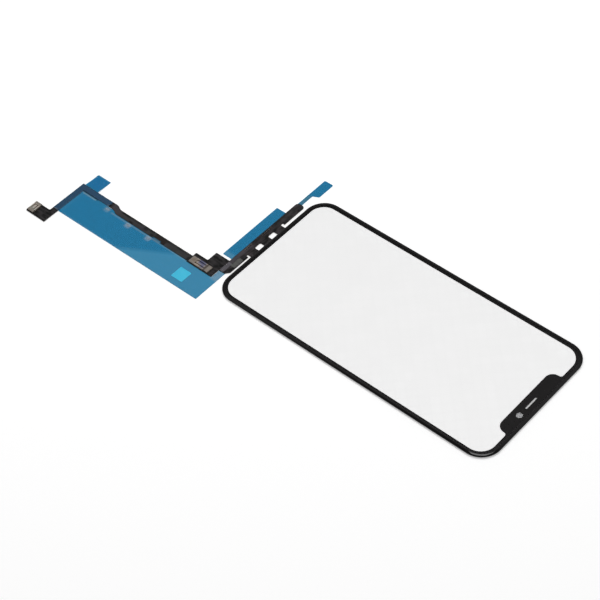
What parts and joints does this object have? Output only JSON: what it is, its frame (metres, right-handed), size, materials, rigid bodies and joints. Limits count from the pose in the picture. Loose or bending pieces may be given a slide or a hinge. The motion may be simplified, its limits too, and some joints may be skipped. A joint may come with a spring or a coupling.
{
  "type": "phone touch-screen cover glass with flex circuit",
  "caption": "Flat phone screen cover glass with a black notched border and clear window, touch sensor film, flex circuit with board connectors, and blue release liners.",
  "frame": {"origin": "centre of the clear window on the underside of the sensor film, which is the face that the display panel is bonded to and that the part rests on", "axes": "+X across the screen, +Y along the screen to the end where the flex leaves, +Z out of the glass's face"},
  "size_m": [0.0928, 0.2366, 0.001],
  "materials": {
    "black_film": "matt black shielding film",
    "black_ink": "opaque black screen-printed ink seen through the glass",
    "blue_liner": "see-through blue polyester release film",
    "bond_film": "cured conductive adhesive film",
    "capacitor_ceramic": "brown-grey ceramic",
    "chip_moulding": "black moulded epoxy",
    "clear_adhesive": "clear optical adhesive sheet",
    "clear_tape": "thin clear polyester tape",
    "connector_moulding": "tan moulded liquid-crystal polymer",
    "cyan_sticker": "glossy cyan film sticker",
    "glass": "clear chemically strengthened glass, polished, with a rounded rim",
    "gold_contact": "gold-plated copper alloy",
    "plated_fitting": "tin-plated stamped metal",
    "polyimide": "amber to brown polyimide over copper",
    "sensor_film": "clear polyester film with transparent electrodes",
    "stiffener": "thin stainless plate",
    "tacky_adhesive": "pressure-sensitive adhesive on the flex"
  },
  "bodies": {
    "root": {"arm_adhesive": "tacky_adhesive", "board_connector_contacts": "gold_contact", "board_connector_fittings": "plated_fitting", "board_connector_housing": "connector_moulding", "board_connector_stiffener": "stiffener", "bond_film_center": "bond_film", "bond_film_left": "bond_film", "bond_film_right": "bond_film", "border_ink": "black_ink", "corner_adhesive": "tacky_adhesive", "cover_glass": "glass", "end_connector_contacts": "gold_contact", "end_connector_fittings": "plated_fitting", "end_connector_housing": "connector_moulding", "end_connector_stiffener": "stiffener", "flex_circuit": "polyimide", "liner_square": "cyan_sticker", "main_liner": "blue_liner", "optical_adhesive": "clear_adhesive", "riser_shield": "black_film", "side_adhesive": "tacky_adhesive", "side_liner": "blue_liner", "strip_adhesive": "tacky_adhesive", "strip_capacitors": "capacitor_ceramic", "strip_chips": "chip_moulding", "strip_liner": "blue_liner", "strip_shield": "black_film", "strip_tape": "clear_tape", "tack_dabs": "tacky_adhesive", "tail_adhesive": "tacky_adhesive", "tail_shield": "black_film", "touch_sensor": "sensor_film"}
  },
  "joints": []
}
